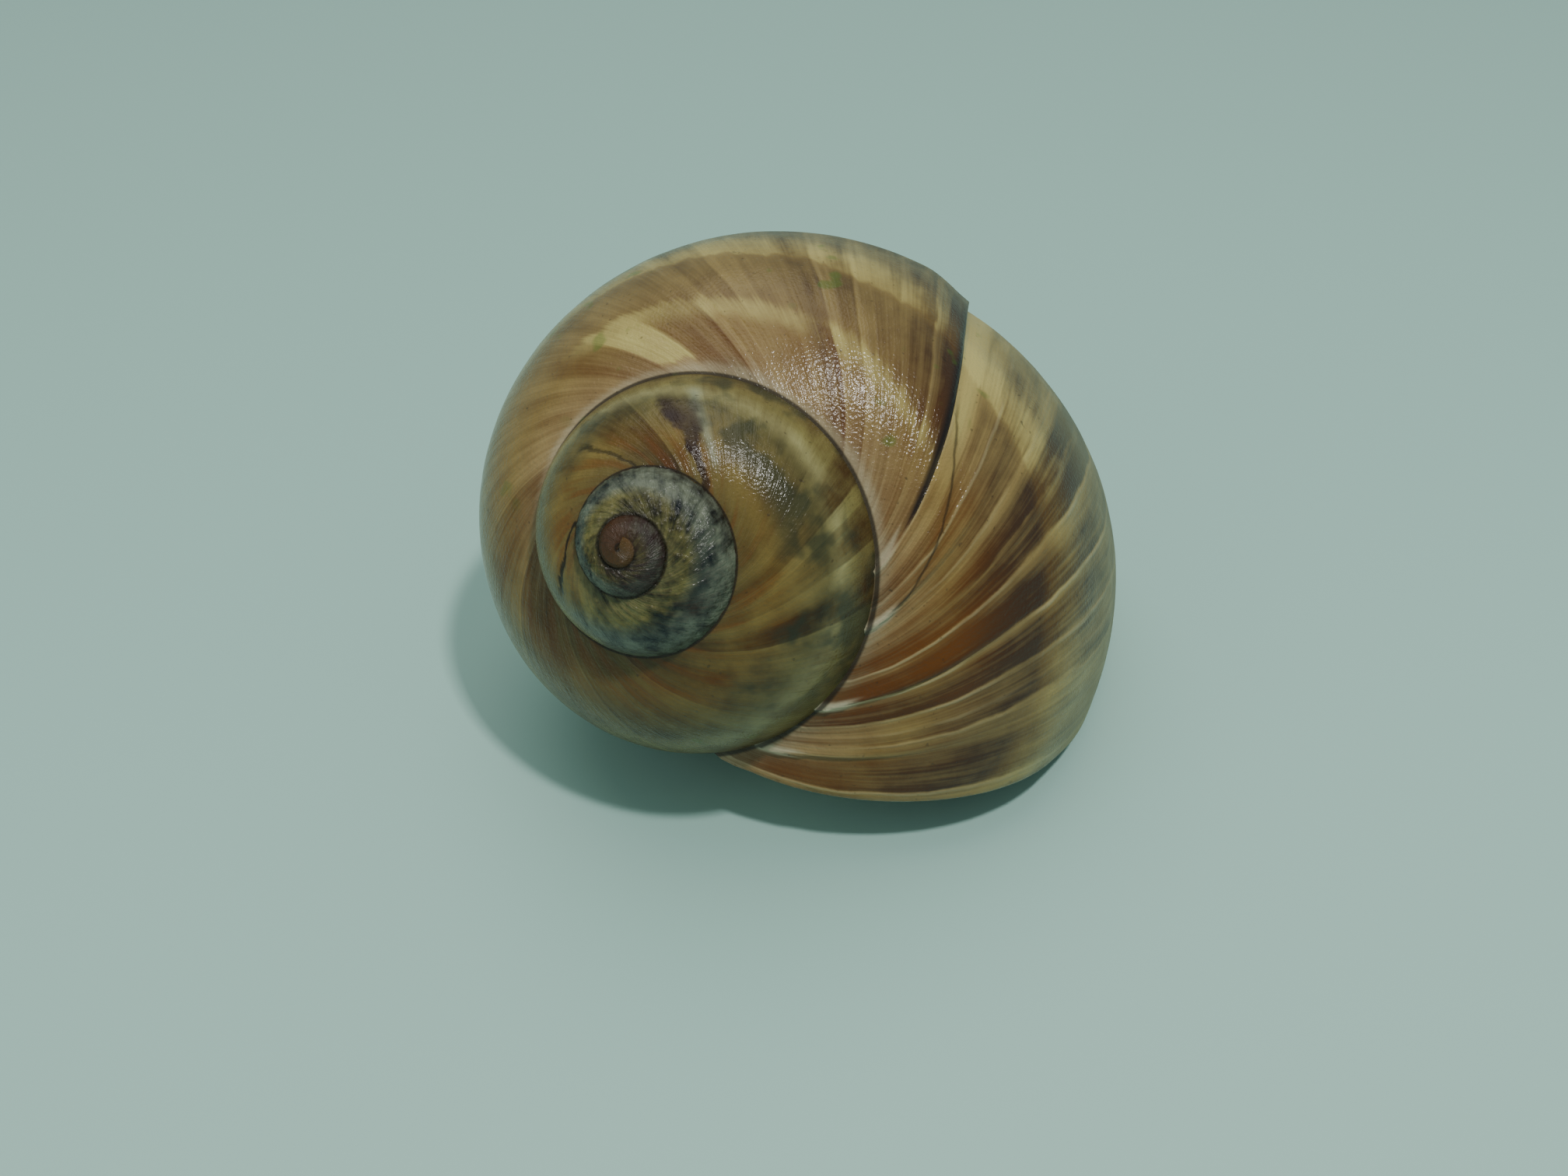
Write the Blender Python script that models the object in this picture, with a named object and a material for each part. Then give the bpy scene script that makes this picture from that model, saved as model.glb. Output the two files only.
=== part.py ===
import cmath
import math

import bmesh
import bpy
from mathutils import Euler

# A moon snail shell, one solid body, lying on its aperture with the spire towards -Y.
# Turns are counted along the coil and end at 0 where the lip meets the suture.
# A point of the half-plane through the coiling axis is a complex number: the distance from
# the axis, plus the height above the apex as its imaginary part, in metres.

SUTURE_RADIUS = 0.0160      # from the axis to the suture, at the lip
SUTURE_DROP = 0.0160        # from the apex down to the suture, at the lip
RADIUS_GROWTH = 0.689       # growth of the suture radius, natural logarithm per turn
RADIUS_SLOWING = -0.050     # and how that growth changes, per turn squared
DROP_GROWTH = 0.912         # growth of the drop, in the same way
DROP_SLOWING = -0.046
SPIRE_TURNS = 3.5           # whorls before the lip
CAVITY_TURNS = 2.10         # how far back the hollow goes

WALL = 0.0015               # shell wall well inside
LIP_WALL = 0.0007           # and at the edge of the lip
LIP_TAPER = 0.05            # turns over which the wall thins

# The whorl's outline is nearly a circle, in a frame whose unit step runs from one suture to
# the next. Each wave is its count around the outline, its cosine part and its sine part.
OUTLINE_CENTRE = 0.616 - 0.889j
OUTLINE_RADIUS = 1.044
OUTLINE_WAVES = ((2, 0.047, -0.048), (3, 0.027, -0.044), (4, 0.006, 0.0))

# The lip leans back from the suture, and growth lines lean with it.
LIP_LAG = 0.163             # turns that the outer lip lags behind the suture
LIP_LAG_ANGLE = math.radians(24.0)
BASE_LAG = 0.104            # further turns that the lip lags across the base
BASE_LAG_START = math.radians(65.0)
BASE_LAG_SPAN = math.radians(105.0)

# An old lip that broke and was grown over. Age is how many turns before the lip a growth
# line was laid down.
BREAK_AGE = 0.22
BREAK_TURN = 0.35           # where the new shell's size is taken
BREAK_SCALE = 0.948         # that size, against the old shell's
BREAK_WIDENING = 0.58       # its growth back, per turn
BREAK_SINKING = 0.0022      # and how far it sinks along the axis, per turn
BREAK_BLEND = math.radians(45.0)
BEFORE_BREAK = 1.0          # an age on the old shell

# The navel in the base and the pillar beside it, as they are at the lip. The pillar is the
# inner wall of the hollow. It ends on the whorl before, where that one's navel begins, and
# the navel's own wall ends a little short of it, so that the pillar has some thickness.
NAVEL_RADIUS = 0.0090       # where the base starts to turn up into the navel
NAVEL_ROUNDING = 0.0045
PILLAR_RADIUS = 0.0135      # where the hollow's floor starts to turn up the pillar
PILLAR_ROUNDING = 0.0050
PILLAR_TOP = 0.0014 + 0.0016j

STEPS = 32                  # rows from a whorl's suture to the next one's
SPIRE_COLUMNS = 8           # from a suture down to the next whorl
BASE_COLUMNS = 11           # from there round the base to the navel
NAVEL_COLUMNS = 4
END_ROWS = 2                # rows by which the hollow's end is pointed

# The shell as it lies: the coil's frame turned about X, then Y, then Z.
LEAN = Euler((math.radians(23.1), math.radians(56.5), math.radians(-84.2)))

COLOUR = (0.36, 0.26, 0.13, 1.0)
ROUGHNESS = 0.32
SHARP_EDGE = math.radians(50.0)

UPPER_ANGLE = cmath.phase(0.0 - OUTLINE_CENTRE)
LOWER_ANGLE = cmath.phase(1.0 - OUTLINE_CENTRE)

# The ends of the stretches of outline in which an edge is looked for, by halving.
PAST_SUTURE = UPPER_ANGLE + math.radians(30.0)
OUTER_BASE = math.radians(20.0)
INNER_BASE = math.radians(-60.0)
HALVINGS = 40
SMALL_ANGLE = math.radians(0.5)


def smooth(value):
    value = min(max(value, 0.0), 1.0)
    return value * value * (3.0 - 2.0 * value)


def lag(angle):
    past_suture = UPPER_ANGLE - angle
    return (LIP_LAG * (1.0 - math.exp(-past_suture / LIP_LAG_ANGLE))
            + BASE_LAG * smooth((past_suture - BASE_LAG_START) / BASE_LAG_SPAN))


WHORL_LEAD = lag(LOWER_ANGLE)
WHORL_SHIFT = 1.0 - WHORL_LEAD     # turns from a growth line to the one it meets below
ROW_TURN = WHORL_SHIFT / STEPS
SPIRE_ROWS = round(SPIRE_TURNS / ROW_TURN)
CAVITY_ROWS = round(CAVITY_TURNS / ROW_TURN)

CORNER_COLUMN = SPIRE_COLUMNS + 1
RIM_COLUMN = CORNER_COLUMN + BASE_COLUMNS
LAST_COLUMN = RIM_COLUMN + NAVEL_COLUMNS


def size(turn):
    return math.exp(RADIUS_GROWTH * turn + RADIUS_SLOWING * turn * turn)


def suture(turn):
    drop = SUTURE_DROP * math.exp(DROP_GROWTH * turn + DROP_SLOWING * turn * turn)
    return complex(SUTURE_RADIUS * size(turn), -drop)


def outline(turn, angle, age=BEFORE_BREAK, inset=0.0):
    start = suture(turn)
    step = suture(turn + 1.0) - start
    reach = OUTLINE_RADIUS
    for count, cosine, sine in OUTLINE_WAVES:
        reach += cosine * math.cos(count * angle) + sine * math.sin(count * angle)
    sinking = 0.0
    if age < BREAK_AGE:
        blend = smooth((UPPER_ANGLE - angle) / BREAK_BLEND)
        after = turn + BREAK_TURN
        reach *= 1.0 + (BREAK_SCALE + BREAK_WIDENING * after - 1.0) * blend
        sinking = BREAK_SINKING * after * blend
    reach -= inset / abs(step)
    return start + step * (OUTLINE_CENTRE + reach * cmath.exp(1j * angle)) - 1j * sinking


def wall(age):
    return WALL - (WALL - LIP_WALL) * math.exp(-age / LIP_TAPER)


def find(test, inside, outside):
    # The angle between the two where the test changes.
    for _ in range(HALVINGS):
        middle = 0.5 * (inside + outside)
        if test(middle):
            inside = middle
        else:
            outside = middle
    return 0.5 * (inside + outside)


def frame_position(turn, point):
    start = suture(turn)
    return (point - start) / (suture(turn + 1.0) - start)


def corner_angles(turn, age):
    # Where the hollow's wall meets the whorl before, on the one outline and on the other.
    thickness = wall(age)

    def outside_old_whorl(angle):
        point = outline(turn, angle, age, thickness)
        place = frame_position(turn - 1.0, point) - OUTLINE_CENTRE
        edge = frame_position(turn - 1.0, outline(turn - 1.0, cmath.phase(place)))
        return abs(place) > abs(edge - OUTLINE_CENTRE)

    angle = find(outside_old_whorl, LOWER_ANGLE, PAST_SUTURE)
    place = frame_position(turn - 1.0, outline(turn, angle, age, thickness))
    return angle, cmath.phase(place - OUTLINE_CENTRE)


def base_angle(turn, age, radius, inset=0.0):
    # Where the base comes in to a given distance from the axis.
    return find(lambda angle: outline(turn, angle, age, inset).real > radius,
                OUTER_BASE, INNER_BASE)


def turned_up(turn, angle, age, inset, rounding):
    # The last point of the base, and the corner of the curve by which it turns up from it.
    first = outline(turn, angle, age, inset)
    onward = outline(turn, angle - SMALL_ANGLE, age, inset) - first
    return first, first + onward / abs(onward) * rounding * size(turn)


def bend(first, middle, last, share):
    return ((1.0 - share) ** 2 * first + 2.0 * share * (1.0 - share) * middle
            + share ** 2 * last)


def in_space(turn, point):
    angle = -2.0 * math.pi * turn
    return (point.real * math.cos(angle), point.real * math.sin(angle), point.imag)


def rim_turn(age):
    return -age - LIP_LAG - BASE_LAG


def rim_angle(age):
    return base_angle(rim_turn(age), age, NAVEL_RADIUS * size(rim_turn(age)))


def old_rim_point(turn):
    # Where the navel of the whorl before begins.
    before = turn - WHORL_SHIFT
    return outline(before, base_angle(before, BEFORE_BREAK, NAVEL_RADIUS * size(before)))


def outer_point(row, column):
    age = -row * ROW_TURN
    if column <= SPIRE_COLUMNS:
        angle = UPPER_ANGLE + (LOWER_ANGLE - UPPER_ANGLE) * column / SPIRE_COLUMNS
        turn = -age - lag(angle)
        return in_space(turn, outline(turn, angle, age))
    rim = rim_angle(age)
    if column <= RIM_COLUMN:
        corner = corner_angles(WHORL_SHIFT - age, max(age - 1.0, 0.0))[1]
        share = (column - CORNER_COLUMN) / BASE_COLUMNS
        angle = corner + (rim - corner) * share
        turn = -age - lag(angle)
        return in_space(turn, outline(turn, angle, age))
    turn = rim_turn(age)
    share = (column - RIM_COLUMN) / NAVEL_COLUMNS
    first, middle = turned_up(turn, rim, age, 0.0, NAVEL_ROUNDING)
    last = old_rim_point(turn) - PILLAR_TOP * size(turn)
    return in_space(turn + WHORL_LEAD * share, bend(first, middle, last, share))


def inner_point(row, column):
    age = -row * ROW_TURN
    thickness = wall(age)
    foot_turn = rim_turn(age)
    foot = base_angle(foot_turn, age, PILLAR_RADIUS * size(foot_turn), thickness)
    if column <= RIM_COLUMN:
        corner = corner_angles(-age, age)[0]
        angle = corner + (foot - corner) * column / RIM_COLUMN
        turn = -age - lag(angle)
        return in_space(turn, outline(turn, angle, age, thickness))
    share = (column - RIM_COLUMN) / NAVEL_COLUMNS
    first, middle = turned_up(foot_turn, foot, age, thickness, PILLAR_ROUNDING)
    last = old_rim_point(foot_turn)
    return in_space(foot_turn + WHORL_LEAD * share, bend(first, middle, last, share))


def last_column(row):
    if row < -STEPS - CAVITY_ROWS:
        return SPIRE_COLUMNS
    return RIM_COLUMN if row < -STEPS else LAST_COLUMN


def add_quads(mesh, grid, rows, columns):
    for row in rows:
        for column in columns:
            mesh.faces.new([grid[row, column], grid[row + 1, column],
                            grid[row + 1, column + 1], grid[row, column + 1]])


def add_fan(mesh, loop):
    centre = mesh.verts.new([sum(vert.co[axis] for vert in loop) / len(loop)
                             for axis in range(3)])
    for index, vert in enumerate(loop):
        mesh.faces.new([vert, loop[(index + 1) % len(loop)], centre])
    return centre


def outer_grid(mesh):
    # Each whorl's upper edge is the same points as the lower edge of the whorl before.
    grid = {}
    for row in range(-SPIRE_ROWS, 1):
        for column in range(last_column(row) + 1):
            if column == 0 and row - STEPS >= -SPIRE_ROWS:
                grid[row, 0] = grid[row - STEPS, SPIRE_COLUMNS]
            else:
                grid[row, column] = mesh.verts.new(outer_point(row, column))
    return grid


def inner_grid(mesh, outer):
    # The hollow's wall starts and ends on the outside of the whorl before.
    grid = {}
    for row in range(-CAVITY_ROWS, 1):
        grid[row, 0] = outer[row - STEPS, CORNER_COLUMN]
        grid[row, LAST_COLUMN] = outer[row - STEPS, RIM_COLUMN]
        for column in range(1, LAST_COLUMN):
            grid[row, column] = mesh.verts.new(inner_point(row, column))
    return grid


def shell_mesh():
    mesh = bmesh.new()
    outer = outer_grid(mesh)
    inner = inner_grid(mesh, outer)
    add_quads(mesh, outer, range(-SPIRE_ROWS, 0), range(SPIRE_COLUMNS))
    add_quads(mesh, outer, range(-STEPS, 0), [SPIRE_COLUMNS])
    add_quads(mesh, outer, range(-STEPS - CAVITY_ROWS, 0), range(CORNER_COLUMN, RIM_COLUMN))
    add_quads(mesh, outer, range(-STEPS, 0), range(RIM_COLUMN, LAST_COLUMN))
    add_quads(mesh, inner, range(-CAVITY_ROWS, 0), range(LAST_COLUMN))

    # The lip's edge, from the suture round to the navel.
    for column in range(LAST_COLUMN):
        mesh.faces.new([outer[0, column], inner[0, column],
                        inner[0, column + 1], outer[0, column + 1]])

    # The apex, the floor of the navel and the inner end of the hollow.
    apex = add_fan(mesh, [outer[-SPIRE_ROWS + row, 0] for row in range(STEPS)]
                   + [outer[-SPIRE_ROWS, column] for column in range(SPIRE_COLUMNS, 0, -1)])
    apex.co = (0.0, 0.0, suture(-SPIRE_TURNS - 1.0).imag)
    add_fan(mesh, [outer[row, LAST_COLUMN] for row in range(-STEPS, 1)]
            + [outer[-STEPS, column] for column in range(RIM_COLUMN, LAST_COLUMN)])
    end = -CAVITY_ROWS
    deepest = add_fan(mesh, [inner[end, column] for column in range(LAST_COLUMN + 1)]
                      + [outer[end - STEPS, column]
                         for column in range(RIM_COLUMN - 1, CORNER_COLUMN, -1)])
    middle = LAST_COLUMN // 2
    deepest.co += inner[end, middle].co - inner[end + END_ROWS, middle].co
    bmesh.ops.recalc_face_normals(mesh, faces=mesh.faces)
    return mesh


def lay_down(mesh):
    bmesh.ops.rotate(mesh, verts=mesh.verts, matrix=LEAN.to_matrix())
    low = [min(vert.co[axis] for vert in mesh.verts) for axis in range(3)]
    high = [max(vert.co[axis] for vert in mesh.verts) for axis in range(3)]
    resting = (0.5 * (low[0] + high[0]), 0.5 * (low[1] + high[1]), low[2])
    bmesh.ops.translate(mesh, verts=mesh.verts, vec=[-value for value in resting])


def shell_material():
    material = bpy.data.materials.new("shell_olive_brown")
    material.use_nodes = True
    principled = material.node_tree.nodes["Principled BSDF"]
    principled.inputs["Base Color"].default_value = COLOUR
    principled.inputs["Roughness"].default_value = ROUGHNESS
    principled.inputs["Metallic"].default_value = 0.0
    return material


def build():
    for thing in list(bpy.data.objects):
        bpy.data.objects.remove(thing)
    mesh = shell_mesh()
    lay_down(mesh)
    data = bpy.data.meshes.new("shell")
    mesh.to_mesh(data)
    mesh.free()
    data.materials.append(shell_material())
    data.shade_smooth()
    data.set_sharp_from_angle(angle=SHARP_EDGE)
    bpy.context.collection.objects.link(bpy.data.objects.new("shell", data))


build()
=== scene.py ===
import cmath
import math
from types import SimpleNamespace

import bpy
from mathutils import Euler, Matrix, Vector


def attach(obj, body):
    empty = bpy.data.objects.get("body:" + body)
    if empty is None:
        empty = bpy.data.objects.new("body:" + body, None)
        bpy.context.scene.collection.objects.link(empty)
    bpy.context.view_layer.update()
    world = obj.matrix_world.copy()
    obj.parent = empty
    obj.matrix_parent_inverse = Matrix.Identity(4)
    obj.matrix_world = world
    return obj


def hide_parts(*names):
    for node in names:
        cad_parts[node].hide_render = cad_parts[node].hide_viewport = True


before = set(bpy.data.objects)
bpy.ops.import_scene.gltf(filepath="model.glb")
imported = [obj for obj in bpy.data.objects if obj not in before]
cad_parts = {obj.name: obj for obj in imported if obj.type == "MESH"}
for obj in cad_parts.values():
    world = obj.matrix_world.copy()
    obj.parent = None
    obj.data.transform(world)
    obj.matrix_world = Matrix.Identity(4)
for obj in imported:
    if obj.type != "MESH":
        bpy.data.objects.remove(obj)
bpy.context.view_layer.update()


# A node tree and the fields in it. Sums on fields add Math nodes to their tree.

class Net:
    def __init__(self, tree):
        self.tree = tree

    def add(self, kind, settings=None, sockets=None):
        node = self.tree.nodes.new(kind)
        for name, value in (settings or {}).items():
            if name == "stops":
                setStops(node.color_ramp, value)
            else:
                setattr(node, name, value)
        for key, value in (sockets or {}).items():
            if isinstance(value, Field):
                self.tree.links.new(value.socket, node.inputs[key])
            else:
                node.inputs[key].default_value = value
        return node

    def field(self, kind, output=0, settings=None, sockets=None):
        return Field(self, self.add(kind, settings, sockets).outputs[output])

    def vector(self, x=0.0, y=0.0, z=0.0):
        return self.field("ShaderNodeCombineXYZ", 0, None, {0: x, 1: y, 2: z})

    def noise(self, place, scale, detail, roughness, seed):
        return self.field("ShaderNodeTexNoise", 0, {"noise_dimensions": "4D"},
                          {"Vector": place, "W": seed, "Scale": scale,
                           "Detail": detail, "Roughness": roughness})

    def vectorMath(self, operation, first, second):
        key = "Scale" if operation == "SCALE" else 1
        return self.field("ShaderNodeVectorMath", 0, {"operation": operation}, {0: first, key: second})

    def mix(self, low, high, share):
        return self.field("ShaderNodeMix", 2, {"data_type": "RGBA"}, {0: share, 6: low, 7: high})

    def ramp(self, value, stops):           # stops are at the value's own places
        longest = stops[-1][0]
        stops = [(place / longest, colour) for place, colour in stops]
        return self.field("ShaderNodeValToRGB", 0, {"stops": stops}, {0: value / longest})


class Field:
    def __init__(self, net, socket):
        self.net = net
        self.socket = socket

    def math(self, operation, *values):
        return self.net.field("ShaderNodeMath", 0, {"operation": operation},
                              dict(enumerate(values)))

    def __add__(self, other):
        return self.math("ADD", self, other)

    def __sub__(self, other):
        return self.math("SUBTRACT", self, other)

    def __rsub__(self, other):
        return self.math("SUBTRACT", other, self)

    def __mul__(self, other):
        return self.math("MULTIPLY", self, other)

    def __truediv__(self, other):
        return self.math("DIVIDE", self, other)

    def __neg__(self):
        return self.math("MULTIPLY", self, -1.0)

    __radd__ = __add__
    __rmul__ = __mul__

    def exp(self):
        return self.math("EXPONENT", self)

    def sin(self):
        return self.math("SINE", self)

    def cos(self):
        return self.math("COSINE", self)

    def root(self):
        return self.math("SQRT", self)

    def size(self):
        return self.math("ABSOLUTE", self)

    def above(self, edge):
        return self.math("GREATER_THAN", self, edge)

    def below(self, edge):
        return self.math("LESS_THAN", self, edge)

    def least(self, other):
        return self.math("MAXIMUM", self, other)

    def most(self, other):
        return self.math("MINIMUM", self, other)

    def rise(self, start, end):             # 0 at start, 1 at end, smooth between
        return self.net.field("ShaderNodeMapRange", 0, {"interpolation_type": "SMOOTHSTEP"},
                              {"Value": self, "From Min": start, "From Max": end})

    def peak(self, centre, width):          # 1 at the centre, 0 a width away
        return (self - centre).size().rise(width, 0.0)

    def toward(self, other, share):
        return self + (other - self) * share


def setStops(ramp, stops):
    while len(ramp.elements) > 1:
        ramp.elements.remove(ramp.elements[-1])
    for index, (place, colour) in enumerate(stops):
        element = ramp.elements[0] if index == 0 else ramp.elements.new(place)
        element.position = place
        element.color = colour


# The shell grows as one tube, wound on itself. Lengths are metres at the lip, angles degrees.
# Way is the angle round the whorl, down from the suture. Age is turns before the lip.

shell = {
    "Suture Radius": 0.0160, "Radius Growth": 0.689, "Radius Slowing": -0.050,
    "Suture Drop": 0.0160, "Drop Growth": 0.912, "Drop Slowing": -0.046,
    "Outline Across": 0.616, "Outline Down": -0.889, "Outline Radius": 1.044,
    "Lip Lag": 0.163, "Lip Lag Way": 24.0, "Base Lag": 0.104,
    "Base Lag Start": 65.0, "Base Lag End": 170.0,
    "Break Age": 0.22, "Break Turn": 0.35, "Break Scale": 0.948,
    "Break Widening": 0.58, "Break Sinking": 0.0022, "Break Way": 45.0, "Break Rounding": 0.0008,
    "Rim Way": 154.0, "Foot Way": 145.0, "Navel Drift": 13.5,
    "Rim Rounding": 0.0032, "Foot Rounding": 0.0036,
    "Pillar Top Out": 0.0014, "Pillar Top Up": 0.0016,
    "Wall": 0.0014, "Lip Wall": 0.0006, "Lip Taper": 0.05, "Lip Bulge": 0.0003,
    "Oldest": 4.3, "Hollow": 2.0, "Buried Way": -14.0,
    "Tip Height": 0.00042, "Fold Height": 0.00016, "Seam Step": 0.00022,
    "Scar Step": 0.00022, "Crack Depth": 0.00030, "Roughness": 0.00026,
    "Outer Rows": 860, "Lip Rows": 8, "Inner Rows": 110, "Columns": 96, "Seed": 7,
}
waves = ((2, 0.047, -0.048), (3, 0.027, -0.044), (4, 0.006, 0.0))    # of the outline's radius
tips = ((-0.004, 0.45), (0.033, 0.75), (0.092, 1.0), (0.168, 0.8), (0.219, 0.5))   # age, height
rowSpread = (1.45, 1.379)           # age of a row is the first times exp(second * share) - 1
arcShare = 0.76                     # of the columns, for the arc round the outside
navelShare = 0.12                   # and for the wall of the navel or the pillar
crowding = 0.55                     # how much closer the columns are near the suture
ends = {
    "rim turns in": (1.95, 2.35), "rim inner way": 74.0,        # the early whorls have no navel
    "hollow end way": 70.0, "hollow end depth": 0.45,           # the hollow closes on one point
    "axis reach": (3.1, 3.4), "cover way": 30.0,                # the first whorls close on the axis
    "apex beyond": 0.2, "navel way": 20.0, "chord way": 10.0, "weld": 5e-7,
}
lean = Euler((math.radians(23.1), math.radians(56.5), math.radians(-84.2)))
apexAt = Vector((-0.013225, -0.022918, 0.028840))
apexTurn = -4.5
upperWay = math.degrees(cmath.phase(-complex(shell["Outline Across"], shell["Outline Down"])))
lowerWay = math.degrees(cmath.phase(1 - complex(shell["Outline Across"], shell["Outline Down"])))
whorlLead = shell["Lip Lag"] * (1 - math.exp(-(upperWay - lowerWay) / shell["Lip Lag Way"]))
degree = math.pi / 180.0

# Marks that are both raised and coloured: ages in turns before the lip, ways in degrees. A pair is
# where a mark starts and where it is complete.
marks = {
    "seam age": 0.170, "seam climb": 0.047, "seam climb ways": (0.0, 24.0), "seam jag": 0.008,
    "scar age": 1.352, "crack age": 1.498, "crack jag": 0.03, "crack ways": (26.0, 18.0),
    "hook age": 1.690, "hook climb": 0.036, "hook climb ways": (2.0, 9.0), "hook ways": (28.0, 20.0),
    "break edge": 0.2195, "worn ages": (1.7, 2.0),
}
# How the raised marks are shaped. Heights are metres at the lip.
relief = {
    "fold ages": (0.26, 0.20), "old folds": 0.25, "fold ways": (120.0, 40.0),
    "tip ways": (30.0, 6.0), "tip lean": 0.006, "tip lean ways": (0.0, 6.0),
    "tip jag": 0.003, "tip fade": 0.022, "seam ways": (26.0, 18.0),
    "shoulder": (1.0, 3.0), "shoulder height": 0.00012, "shoulder ages": (0.2, 0.24),
    "break fade": (0.252, 0.2205), "break ways": (18.0, 42.0),
    "scar fade": (1.45, 1.36), "scar ways": (38.0, 30.0), "crack width": 0.006,
    "crack share": 0.6, "hook width": 0.011, "dent height": 0.00012,
    "first whorls": (3.2, 2.7), "buried fade": -4.0,
}
# Noise laid along the growth: stretch in age and in way, scale, detail, roughness.
growthGrains = {
    "jag": (3.0, 0.35, 1.0, 3.0, 0.6), "folds": (40.0, 0.05, 1.3, 1.0, 0.4),
    "dents": (22.0, 0.16, 1.0, 2.0, 0.5), "knobs": (45.0, 0.22, 1.0, 4.0, 0.7),
    "coarse": (34.0, 0.045, 1.0, 2.0, 0.5), "medium": (130.0, 0.035, 1.0, 2.0, 0.5),
    "fine": (460.0, 0.06, 1.0, 2.0, 0.5), "spirals": (170.0, 2.3, 1.0, 2.0, 0.5),
}


def growthNoise(net, name, age, way, seed):
    ageStretch, wayStretch, *texture = growthGrains[name]
    return net.noise(net.vector(age * ageStretch, way * wayStretch, 0.0), *texture, seed) - 0.5


def seamAt(way, jag):
    climb = way.rise(*marks["seam climb ways"]) * marks["seam climb"]
    return marks["seam age"] + climb + jag * marks["seam jag"]


def hookAt(way, jag):
    climb = way.rise(*marks["hook climb ways"]) * marks["hook climb"]
    return marks["hook age"] + climb + jag * marks["crack jag"]


def sutureAt(give, turn):
    radius = give["Suture Radius"] * (turn * (give["Radius Growth"] + give["Radius Slowing"] * turn)).exp()
    drop = give["Suture Drop"] * (turn * (give["Drop Growth"] + give["Drop Slowing"] * turn)).exp()
    return radius, -drop


def lagAt(give, way):
    lip = give["Lip Lag"] * (1.0 - (-way.least(0.0) / give["Lip Lag Way"]).exp())
    return lip + give["Base Lag"] * way.rise(give["Base Lag Start"], give["Base Lag End"])


def whorlPoint(give, turn, way, age, outward):
    startOut, startUp = sutureAt(give, turn)
    nextOut, nextUp = sutureAt(give, turn + 1.0)
    stepOut, stepUp = nextOut - startOut, nextUp - startUp
    length = (stepOut * stepOut + stepUp * stepUp).root()
    angle = (upperWay - way) * degree
    reach = give["Outline Radius"]
    for count, cosine, sine in waves:
        wave = angle * count
        reach = reach + wave.cos() * cosine + wave.sin() * sine
    after = turn + give["Break Turn"]
    blend = way.rise(0.0, give["Break Way"]) * age.below(give["Break Age"])
    reach = reach * (1.0 + (give["Break Scale"] + give["Break Widening"] * after - 1.0) * blend)
    reach = reach + outward / length
    across = give["Outline Across"] + reach * angle.cos()
    down = give["Outline Down"] + reach * angle.sin()
    out = startOut + stepOut * across - stepUp * down
    up = startUp + stepOut * down + stepUp * across - give["Break Sinking"] * after * blend
    onOut = (stepOut * angle.sin() + stepUp * angle.cos()) / length
    onUp = (stepUp * angle.sin() - stepOut * angle.cos()) / length
    return out, up, onOut, onUp, length


def reliefAt(net, give, way, age, scale):
    # What stands proud of the smooth whorl: folds, tips at the suture, seam, break, scar, cracks.
    seed = give["Seed"]
    jag = growthNoise(net, "jag", age, way, seed)
    folds = growthNoise(net, "folds", age, way, seed) * 2.0 * give["Fold Height"]
    freshness = relief["old folds"] + (1.0 - relief["old folds"]) * age.rise(*relief["fold ages"])
    height = folds * freshness * way.rise(*relief["fold ways"])
    lean = way.rise(*relief["tip lean ways"]) * relief["tip lean"]
    for tipAge, share in tips:
        hooked = age - tipAge - lean + jag * relief["tip jag"]
        step = hooked.above(0.0) * (-hooked.least(0.0) / relief["tip fade"]).exp()
        height = height + step * way.rise(*relief["tip ways"]) * give["Tip Height"] * share
    between = age.above(seamAt(way, jag)) * age.below(give["Break Age"])
    height = height + between * give["Seam Step"] * way.rise(*relief["seam ways"])
    shoulder = way.peak(*relief["shoulder"]) * age.rise(*relief["shoulder ages"])
    height = height + shoulder * relief["shoulder height"]
    rounded = age.above(give["Break Age"]) * age.rise(*relief["break fade"])
    height = height - rounded * way.rise(*relief["break ways"]) * give["Break Rounding"]
    scar = age.above(marks["scar age"] + jag * marks["crack jag"]) * age.rise(*relief["scar fade"])
    height = height + scar * give["Scar Step"] * way.rise(*relief["scar ways"])
    crackAge = marks["crack age"] + jag * marks["crack jag"]
    crack = age.peak(crackAge, relief["crack width"]) * way.rise(*marks["crack ways"])
    hook = age.peak(hookAt(way, jag), relief["hook width"]) * way.rise(*marks["hook ways"])
    height = height - (crack * relief["crack share"] + hook) * give["Crack Depth"]
    height = height + growthNoise(net, "dents", age, way, seed) * relief["dent height"]
    worn = age.rise(*marks["worn ages"]) * age.rise(*relief["first whorls"])
    knobs = growthNoise(net, "knobs", age, way, seed) * worn * give["Roughness"] * 2.0
    return (height * scale + knobs) * way.rise(give["Buried Way"], relief["buried fade"])


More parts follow.
